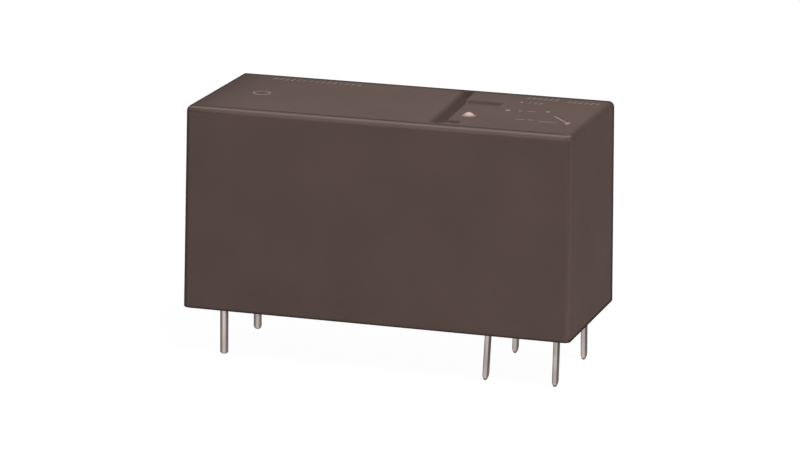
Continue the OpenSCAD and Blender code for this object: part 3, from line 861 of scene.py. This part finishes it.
def mould_case():
    """The whole cover as one closed mesh."""
    mesh = bmesh.new()
    case_roof(mesh, case_rings(mesh, x_shares, y_shares))
    store_shares(mesh)
    return finish_mesh(mesh, "case_shell")


cover = dress(mould_case(), "case_plastic", "housing", "case")
print("cover faces:", len(cover.data.polygons))

# %% [markdown]
# ## Softened copies of the frame's pieces
# Most pieces inside have the right shape already, but their edges are mathematically sharp, and no
# stamped, turned or moulded part is. A copy is merged, its flat faces are joined again and its sharp
# edges are bevelled by a few hundredths of a millimetre, so that they catch the light.

# %% Soften a node's edges
MERGE = 0.0005 * MM
FLAT = math.radians(0.5)
# Node, width of the bevel, finish and body
SOFTENED = (
    ("base", 0.08, "base_plastic", "housing"), ("bobbin", 0.08, "bobbin_plastic", "housing"),
    ("coil_tape", 0.01, "film", "housing"), ("core", 0.08, "soft_iron", "housing"),
    ("yoke", 0.06, "soft_iron", "housing"), ("hinge_spring", 0.02, "spring_steel", "housing"),
    ("armature", 0.06, "soft_iron", "armature"), ("card", 0.10, "card_plastic", "card"),
    ("moving_contact", 0.05, "contact_metal", "contact_arm"),
    ("fixed_contact", 0.05, "contact_metal", "housing"), ("sealing_resin", 0.05, "resin", "housing"),
)


def copied(node):
    """Merged copy of a node's mesh, with its flat faces joined."""
    mesh = bmesh.new()
    mesh.from_mesh(frame["nodes"][node].data)
    bmesh.ops.remove_doubles(mesh, verts=mesh.verts, dist=MERGE)
    bmesh.ops.dissolve_limit(mesh, angle_limit=FLAT, verts=mesh.verts, edges=mesh.edges)
    return mesh


def bevel_sharp(mesh, width, steps=2):
    """Rounds every sharp edge."""
    sharp = [e for e in mesh.edges if len(e.link_faces) == 2 and e.calc_face_angle() > SHARP]
    bmesh.ops.bevel(
        mesh, geom=sharp, offset=width * MM, offset_type="OFFSET", segments=steps, profile=0.5,
        affect="EDGES", clamp_overlap=True,
    )


def soften(node, width, slot, body):
    """Bevelled copy that stands for a node."""
    mesh = copied(node)
    bevel_sharp(mesh, width)
    dress(finish_mesh(mesh, node + "_piece", sharp=True), slot, body, node)


for node, width, slot, body in SOFTENED:
    soften(node, width, slot, body)
print("softened:", len(SOFTENED))

# %% [markdown]
# ## Pins
# The coil pins are drawn wire with a blunt, rounded end, so a lathe of their profile makes them. Each
# vertex stores a painted reflection on the tin: bright towards front and rear, dark at the sides and less
# dark towards the end, and dark again on the rim of the end.

# %% Round coil pins
# Node, height of its end and of the dome there, and how far it stands aside
COIL_PINS = (("coil_pin_front", -3.38, 0.16, 0.06), ("coil_pin_rear", -3.5, 0.28, 0.02))
PIN_SIDES = 32
DOME_STEPS = 6
PIN_R = 0.3
NECK_R = 0.33
NECK_Z = 0.6
NECK_CHAMFER = 0.05
# Painted reflection on the tin: where it is brightest, its band, its share low on the sides, and the dark
# at the end's rim
PIN_TURN = math.radians(16)
SHEEN_HALF = math.radians(25)
SHEEN_SOFT = math.radians(17)
SIDE_SHEEN = 0.24
END_SHEEN = 0.1
END_RIM = 0.1


def sheen_share(turn, lowness):
    """Painted brightness of the tin by the way a surface faces, 0 being the front, and by how low it is."""
    away = abs((turn - PIN_TURN + math.pi / 2) % math.pi - math.pi / 2)
    return max(1 - step_up(SHEEN_HALF, away, SHEEN_SOFT), SIDE_SHEEN * lowness)


def cap_ends(mesh, rings):
    """Closes the first and the last ring."""
    mesh.faces.new(reversed(rings[0]))
    mesh.faces.new(rings[-1])


def turn_pin(node, end, dome, aside):
    """Coil pin with a rounded end where its node stands, and a little aside below its neck."""
    low, high = (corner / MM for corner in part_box(node))
    middle = (low + high) / 2
    turns = [math.pi / 2 * step / DOME_STEPS for step in range(1, DOME_STEPS + 1)]
    profile = [(PIN_R * math.sin(turn), end + dome * (1 - math.cos(turn))) for turn in turns]
    profile += [(PIN_R, NECK_Z - NECK_CHAMFER), (NECK_R, NECK_Z)]
    profile += [(NECK_R, high.z - NECK_CHAMFER), (NECK_R - NECK_CHAMFER, high.z)]
    mesh = bmesh.new()
    cap_ends(mesh, lathe(mesh, profile, (middle.x, middle.y, 0.0), PIN_SIDES))
    painted_sheen = mesh.verts.layers.float.new("painted_sheen")
    for vertex in mesh.verts:
        spot = vertex.co / MM
        lowness = max((NECK_Z - spot.z) / (NECK_Z - end), 0.0)
        bright = sheen_share(math.atan2(spot.x - middle.x, middle.y - spot.y), lowness)
        vertex[painted_sheen] = bright * (END_SHEEN if spot.z < end + END_RIM else 1.0)
        if spot.z < NECK_Z - NECK_CHAMFER / 2:
            vertex.co.x += aside * MM
    return dress(finish_mesh(mesh, node + "_piece", sharp=True), "tinned_metal", "housing", node)


for node, end, dome, aside in COIL_PINS:
    print(node, "faces:", len(turn_pin(node, end, dome, aside).data.polygons))

# %% [markdown]
# The contact pins are stamped from strip and then coined, so their edges and tips are rounded. The upper
# part of each terminal is a softened copy of its node, cut off inside the base. Below the cut stand new
# pins: rings of a rounded rectangle that close in along a quarter ellipse at the tip.

# %% Flat pins
BLADE = Vector((0.18, 0.36))
BLADE_R = 0.1
CUT_Z = 1.0
PIN_TOP = 1.3
TIP_L = 0.5
TIP_SHARES = (0.0, 0.2, 0.4, 0.58, 0.74, 0.87, 0.96, 1.0)
TIP_FULL = 0.93
# Narrower than this, the tip takes the painted dark of the end's rim
TIP_RIM = 0.8
mounts = {mount["name"]: mount for mount in frame["record"]["mounts"]}
PIN_ROW = mounts["coil_pins"]["dims"]["spacing_y_mm"] / 2


def mount_x(name):
    """Place of a row of pins along the relay."""
    return mounts[name]["pos_m"][0] / MM


def coin_pin(mesh, painted_sheen, x, y, low, bend):
    """One flat pin from its tip up into the base, bent sideways a little as pins are."""
    levels = []
    for share in reversed(TIP_SHARES):
        levels.append((low + TIP_L * (1 - share), math.sqrt(1 - (TIP_FULL * share) ** 2)))
    levels.append((PIN_TOP, 1.0))
    turns = [math.pi / 2 * (side + step / CORNER_STEPS)
             for side in range(4) for step in (0, 0, *range(1, CORNER_STEPS))]
    rings = []
    for height, narrow in levels:
        flat = ring_points(*(BLADE * narrow), BLADE_R * narrow, (-1.0, 1.0), (-1.0, 1.0))
        lowness = (PIN_TOP - height) / (PIN_TOP - low)
        middle = Vector((x + bend * lowness, y))
        ring = [mesh.verts.new(Vector((*(middle + spot), height)) * MM) for spot in flat]
        for vertex, turn in zip(ring, turns):
            vertex[painted_sheen] = sheen_share(turn, lowness) * (1.0 if narrow > TIP_RIM else END_SHEEN)
        rings.append(ring)
    for lower, upper in pairwise(rings):
        join_rings(mesh, lower, upper)
    cap_ends(mesh, rings)


pin_places = [mount_x(name) for name in ("coil_pins", "com_pins", "no_pins")]
print("pins at mm:", [round(x, 2) for x in pin_places], "on both sides at mm:", PIN_ROW)

# %% Terminals
# Node, mount of its pins, and how far the front and the rear pin are bent at the tip
TERMINALS = (("com_terminal", "com_pins", (-0.2, -0.1)), ("no_terminal", "no_pins", (-0.07, 0.07)))
PIN_CUT = 0.07
STAMPED_EDGE = 0.06
STAMPED_STEPS = 3
# Painted reflection on the terminal's upper part, one even brightness
BODY_SHEEN = 0.7


def coin_terminal(node, mount, bends):
    """Terminal with rounded pins, where its node stands."""
    mesh = copied(node)
    geometry = mesh.verts[:] + mesh.edges[:] + mesh.faces[:]
    cut = (0, 0, CUT_Z * MM)
    bmesh.ops.bisect_plane(mesh, geom=geometry, plane_co=cut, plane_no=(0, 0, 1), clear_inner=True)
    bmesh.ops.holes_fill(mesh, edges=[edge for edge in mesh.edges if edge.is_boundary])
    bevel_sharp(mesh, STAMPED_EDGE, STAMPED_STEPS)
    painted_sheen = mesh.verts.layers.float.new("painted_sheen")
    for vertex in mesh.verts:
        vertex[painted_sheen] = BODY_SHEEN
    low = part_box(node)[0].z / MM + PIN_CUT
    for side, bend in zip((-1, 1), bends):
        coin_pin(mesh, painted_sheen, mount_x(mount), side * PIN_ROW, low, bend)
    return dress(finish_mesh(mesh, node + "_piece", sharp=True), "tinned_metal", "housing", node)


for node, mount, bends in TERMINALS:
    print(node, "faces:", len(coin_terminal(node, mount, bends).data.polygons))

# %% [markdown]
# ## Marks on the roof
# The roof carries a printed wiring sign: a lever between dots, and rows of short ticks. The marks repeat,
# so geometry nodes make them: every edge of a small drawing becomes a flat stroke, and every marked point
# a flat dot. A texture could show them too, but thin pieces keep a crisp edge at any distance.

# %% Tree that prints marks
DOT_SIDES = 20
DOT_RISE = 1.3


def geometry_tree(name, **inputs):
    """Geometry node tree with named inputs, and those inputs' sockets."""
    tree = bpy.data.node_groups.new(name, "GeometryNodeTree")
    tree.interface.new_socket("Geometry", in_out="INPUT", socket_type="NodeSocketGeometry")
    for label, kind in inputs.items():
        tree.interface.new_socket(label, in_out="INPUT", socket_type="NodeSocket" + kind)
    tree.interface.new_socket("Geometry", in_out="OUTPUT", socket_type="NodeSocketGeometry")
    return tree, tree.nodes.new("NodeGroupInput").outputs


def layer(tree, name):
    """Value that is stored on the points under a name."""
    return add_node(tree, "GeometryNodeInputNamedAttribute", {"Name": name}).outputs[0]


def set_on_points(tree, points, marker, shape, **links):
    """Instances of a shape on the points whose marker is above 0."""
    links |= {"Points": points, "Instance": shape}
    links["Selection"] = add_node(
        tree, "FunctionNodeCompare", {0: marker, 1: 0.0}, operation="GREATER_THAN"
    ).outputs[0]
    return add_node(tree, "GeometryNodeInstanceOnPoints", links).outputs[0]


def sweep(tree, path, profile):
    """Closed rod with a profile along a path."""
    links = {"Curve": path, "Profile Curve": profile, "Fill Caps": True}
    return add_node(tree, "GeometryNodeCurveToMesh", links).outputs[0]


def end_tree(tree, material, *parts):
    """Joined parts as real geometry with their material at the tree's end."""
    joined = tree.nodes.new("GeometryNodeJoinGeometry")
    for part in parts:
        tree.links.new(part, joined.inputs[0])
    real = add_node(tree, "GeometryNodeRealizeInstances", {"Geometry": joined.outputs[0]}).outputs[0]
    dressed = add_node(tree, "GeometryNodeSetMaterial", {"Geometry": real, "Material": material}).outputs[0]
    add_node(tree, "NodeGroupOutput", {"Geometry": dressed})
    return tree


def mark_tree():
    """Tree that draws strokes along edges and dots on points."""
    tree, given = geometry_tree("printed_marks", Width="Float", Thickness="Float", Ink="Material")
    path = add_node(tree, "GeometryNodeMeshToCurve", {"Mesh": given["Geometry"]}).outputs[0]
    level = add_node(tree, "GeometryNodeSetCurveNormal", {"Curve": path}, mode="Z_UP").outputs[0]
    sides = {"Width": given["Width"], "Height": given["Thickness"]}
    profile = add_node(tree, "GeometryNodeCurvePrimitiveQuadrilateral", sides).outputs[0]
    strokes = sweep(tree, level, profile)
    disc = {"Vertices": DOT_SIDES, "Radius": 1.0, "Depth": 1.0}
    dot = add_node(tree, "GeometryNodeMeshCylinder", disc).outputs[0]
    radius = layer(tree, "dot")
    rise = calculate(tree, "MULTIPLY", given["Thickness"], DOT_RISE)
    size = add_node(tree, "ShaderNodeCombineXYZ", {0: radius, 1: layer(tree, "depth"), 2: rise}).outputs[0]
    dots = set_on_points(tree, given["Geometry"], radius, dot, Scale=size)
    return end_tree(tree, given["Ink"], strokes, dots)


printed_marks = mark_tree()
print("nodes of the marks:", len(printed_marks.nodes))

# %% [markdown]
# The drawing itself is a few short lists. Strokes run from point to point, dots have a radius and may be
# stretched in depth, and rows of slanted ticks are worked out from their first tick. Dots are a little
# thicker than strokes, so that the two never share a face.

# %% Marks on the roof
CLEAR_STROKES = [((11.46, -0.59), (12.93, -2.5))]
CLEAR_DOTS = [(7.83, 0.19, 0.19), (8.03, 3.06, 0.12), (10.65, 0.68, 0.14), (12.93, -2.5, 0.16, 2.6)]
FAINT_STROKES = [
    ((9.2, 0.38), (9.75, 0.46)), ((9.1, -2.4), (9.7, -2.3)),
    ((10.0, -2.25), (10.4, -2.3)), ((10.9, -2.6), (11.9, -2.5)),
]
FAINT_DOTS = [(8.7, 0.3, 0.13), (12.05, -2.4, 0.12)]
# First tick, how many, step and reach
TICK_ROWS = (
    ((8.05, 4.3), 6, 0.42, (0.15, 0.6)), ((11.15, 4.0), 6, 0.42, (0.15, 0.6)),
    ((8.6, 2.9), 3, 0.4, (0.12, 0.4)), ((-11.2, 4.3), 15, 0.46, (0.15, 0.6)),
)
# Middle, radius and sides
RING = (-10.45, -0.4, 0.6, 24)
STROKE_W = 0.2
LEVER_W = 0.15
INK_T = 0.012


def run_tree(source, tree, name, **values):
    """Plain mesh that a tree makes from a source object, which is then removed."""
    modifier = source.modifiers.new(name, "NODES")
    modifier.node_group = tree
    for socket in tree.interface.items_tree:
        if socket.in_out == "INPUT" and socket.name in values:
            modifier[socket.identifier] = values[socket.name]
    evaluated = source.evaluated_get(bpy.context.evaluated_depsgraph_get())
    data = bpy.data.meshes.new_from_object(evaluated)
    bpy.data.objects.remove(source)
    piece = bpy.data.objects.new(name, data)
    scene.collection.objects.link(piece)
    return piece


def tick_strokes():
    """Strokes of the rows of ticks."""
    for (x, y), count, pitch, (reach_x, reach_y) in TICK_ROWS:
        for step in range(count):
            start = x + step * pitch
            yield (start, y), (start + reach_x, y + reach_y)


def ring_spots(x, y, radius, sides):
    """Points of a ring, in order."""
    for step in range(sides):
        turn = 2 * math.pi * step / sides
        yield x + radius * math.cos(turn), y + radius * math.sin(turn)


def print_marks(name, strokes, dots, ring, width, ink):
    """Ink of one tone on the roof."""
    mesh = bmesh.new()
    radius_layer, depth_layer = (mesh.verts.layers.float.new(value) for value in ("dot", "depth"))

    def on_roof(x, y):
        """Point of the drawing at half the ink's thickness."""
        return mesh.verts.new(Vector((x, y, case_high.z + INK_T / 2)) * MM)

    for stroke in strokes:
        mesh.edges.new([on_roof(*spot) for spot in stroke])
    for x, y, radius, *stretch in dots:
        dot = on_roof(x, y)
        dot[radius_layer] = radius * MM
        dot[depth_layer] = radius * MM * (stretch[0] if stretch else 1.0)
    loop = [on_roof(*spot) for spot in ring]
    for first, second in zip(loop, loop[1:] + loop[:1]):
        mesh.edges.new((first, second))
    sizes = {"Width": width * MM, "Thickness": INK_T * MM}
    marks = run_tree(finish_mesh(mesh, "drawing"), printed_marks, name, Ink=FINISH[ink], **sizes)
    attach(marks, "housing")
    return marks


faint_strokes = [*FAINT_STROKES, *tick_strokes()]
faint_ring = list(ring_spots(*RING))
clear_marks = print_marks("clear_marks", CLEAR_STROKES, CLEAR_DOTS, [], LEVER_W, "ink")
faint_marks = print_marks("faint_marks", faint_strokes, FAINT_DOTS, faint_ring, STROKE_W, "faint_ink")
print("mark faces:", len(clear_marks.data.polygons), len(faint_marks.data.polygons))

# %% [markdown]
# ## Winding
# Fine enamelled wire runs round the coil former in layers. Only the outer layer can ever be seen, so one
# spiral stands for it, over a plain sleeve for the layers below. The two ends run out to the coil pins
# and are wrapped on them. Geometry nodes suit this, since all of it is one round profile swept along a
# path.

# %% Tree that winds wire
WIRE_SIDES = 6
TURN_POINTS = 48


def wire_tree():
    """Tree that winds wire on marked points and lays it along edges."""
    floats = dict.fromkeys(("Radius", "Height", "Turns", "Wire"), "Float")
    tree, given = geometry_tree("wound_wire", **floats, Metal="Material")
    round_wire = {"Resolution": WIRE_SIDES, "Radius": given["Wire"]}
    profile = add_node(tree, "GeometryNodeCurvePrimitiveCircle", round_wire).outputs[0]
    shape = {"Start Radius": given["Radius"], "End Radius": given["Radius"], "Height": given["Height"]}
    turns = {"Resolution": TURN_POINTS, "Rotations": given["Turns"]}
    spiral = add_node(tree, "GeometryNodeCurveSpiral", {**shape, **turns}).outputs[0]
    lead = add_node(tree, "GeometryNodeMeshToCurve", {"Mesh": given["Geometry"]}).outputs[0]
    wound = set_on_points(tree, given["Geometry"], layer(tree, "wound"), sweep(tree, spiral, profile))
    return end_tree(tree, given["Metal"], wound, sweep(tree, lead, profile))


wound_wire = wire_tree()
print("nodes of the wire:", len(wound_wire.nodes))

# %% Coil and its wire ends
coil_axis = (sum(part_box("core"), Vector()) / 2 / MM).to_2d()
coil_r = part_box("coil_winding")[1].x / MM - coil_axis.x
coil_z = [round(corner.z / MM, 3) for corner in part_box("coil_winding")]
SLEEVE_R = (2.66, 4.68)
SLEEVE_SIDES = 64
WIRE_D = 0.14
WIRE_PITCH = 0.15
WRAP_R = 0.5
WRAP_Z = (3.55, 4.35)


def wind(name, spots, leads, radius, heights):
    """Wire wound on spots between two heights, with straight leads to them at half height."""
    mesh = bmesh.new()
    wound = mesh.verts.layers.float.new("wound")
    for spot in spots:
        mesh.verts.new(Vector((*spot, heights[0] + WIRE_D / 2)) * MM)[wound] = 1.0
    for lead in leads:
        mesh.edges.new([mesh.verts.new(Vector((*spot, sum(heights) / 2)) * MM) for spot in lead])
    rise = heights[1] - heights[0] - WIRE_D
    sizes = {"Radius": (radius - WIRE_D / 2) * MM, "Height": rise * MM, "Wire": WIRE_D / 2 * MM}
    sizes["Turns"] = rise / WIRE_PITCH
    source = finish_mesh(mesh, "wire_path")
    piece = run_tree(source, wound_wire, name, Metal=FINISH["copper_wire"], **sizes)
    piece.data.shade_smooth()
    return piece


def sleeve():
    """Closed tube for the layers under the outer one."""
    mesh = bmesh.new()
    low, high = coil_z[0] + WIRE_D / 2, coil_z[1] - WIRE_D / 2
    profile = [(SLEEVE_R[1], low), (SLEEVE_R[1], high), (SLEEVE_R[0], high), (SLEEVE_R[0], low)]
    rings = lathe(mesh, profile, (*coil_axis, 0.0), SLEEVE_SIDES)
    join_rings(mesh, rings[-1], rings[0])
    return finish_mesh(mesh, "coil_sleeve", sharp=True)


def lead_to(pin):
    """Both ends of the wire from the coil to a pin."""
    way = (pin - coil_axis).normalized()
    return coil_axis + way * (coil_r - WIRE_D), pin - way * (WRAP_R - WIRE_D / 2)


pins = [Vector((mount_x("coil_pins"), side * PIN_ROW)) for side in (-1, 1)]
coil_layer = wind("coil_layer", [coil_axis], [], coil_r, coil_z)
coil_ends = wind("coil_ends", pins, [lead_to(pin) for pin in pins], WRAP_R, WRAP_Z)
dress(coil_layer, "copper_wire", "housing", "coil_winding")
dress(coil_ends, "copper_wire")
dress(sleeve(), "copper_wire")
print("wire faces:", len(coil_layer.data.polygons), len(coil_ends.data.polygons))

# %% [markdown]
# ## Rivets, collars and the leaf spring
# Two domed rivets hold the contact leaf on its terminal, and the sealing resin has crept a little way
# along each pin. Each of the two shapes is turned once and set on its points by the same small tree.

# %% Turned shapes on points
# Radius and place along the axis
RIVET_END = ((0.35, 0.61), (0.62, 0.57), (0.82, 0.47), (0.9, 0.36), (0.88, 0.26), (0.5, 0.26))
RIVET = [(radius, -place) for radius, place in RIVET_END] + list(reversed(RIVET_END))
COLLAR = ((0.28, 0.33), (0.33, 0.38), (0.38, 0.46), (0.47, 0.54), (0.62, 0.59), (0.72, 0.61), (0.72, 0.7))
RIVET_Y = 2.2


def stud_tree():
    """Tree that sets one shape on every point."""
    tree, given = geometry_tree("studs", Stud="Object", Finish="Material")
    shape = add_node(tree, "GeometryNodeObjectInfo", {"Object": given["Stud"]}).outputs["Geometry"]
    links = {"Points": given["Geometry"], "Instance": shape}
    placed = add_node(tree, "GeometryNodeInstanceOnPoints", links).outputs[0]
    return end_tree(tree, given["Finish"], placed)


def studs(name, profile, axis, spots, slot, *nodes):
    """A turned shape, set on every spot."""
    mesh = bmesh.new()
    cap_ends(mesh, lathe(mesh, profile, (0.0, 0.0, 0.0), PIN_SIDES, axis))
    stud = finish_mesh(mesh, name + "_shape", sharp=True)
    points = bmesh.new()
    for spot in spots:
        points.verts.new(Vector(spot) * MM)
    source = finish_mesh(points, name + "_spots")
    piece = run_tree(source, turned_studs, name, Stud=stud, Finish=FINISH[slot])
    bpy.data.objects.remove(stud)
    return dress(piece, slot, "housing", *nodes)


turned_studs = stud_tree()
rivet_middle = sum(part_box("spring_rivets"), Vector()) / 2 / MM
rivet_spots = [(rivet_middle.x, side * RIVET_Y, rivet_middle.z) for side in (-1, 1)]
collar_spots = [(x, side * PIN_ROW, 0.0) for x in pin_places for side in (-1, 1)]
rivets = studs("rivet_pair", RIVET, "X", rivet_spots, "rivet_metal", "spring_rivets")
collars = studs("resin_collars", COLLAR, "Z", collar_spots, "resin")
print("rivet and collar faces:", len(rivets.data.polygons), len(collars.data.polygons))

# %% [markdown]
# The contact leaf is fixed at its root and pushed at its middle, so it bends. Its copy is cut across many
# times.

# %% Leaf spring, cut across
LEAF_EDGE = 0.02
LEAF_CUTS = 40


def bend_leaf():
    """Bevelled copy of the leaf spring, cut across many times."""
    mesh = copied("moving_spring")
    bevel_sharp(mesh, LEAF_EDGE)
    low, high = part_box("moving_spring")
    for step in range(1, LEAF_CUTS):
        height = low.z + (high.z - low.z) * step / LEAF_CUTS
        geometry = mesh.verts[:] + mesh.edges[:] + mesh.faces[:]
        bmesh.ops.bisect_plane(mesh, geom=geometry, plane_co=(0, 0, height), plane_no=(0, 0, 1))
    leaf = finish_mesh(mesh, "moving_spring_piece", sharp=True)
    leaf.data.materials.append(FINISH["copper_alloy"])
    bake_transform(leaf)
    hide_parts("moving_spring")
    return leaf


print("leaf faces:", len(bend_leaf().data.polygons))
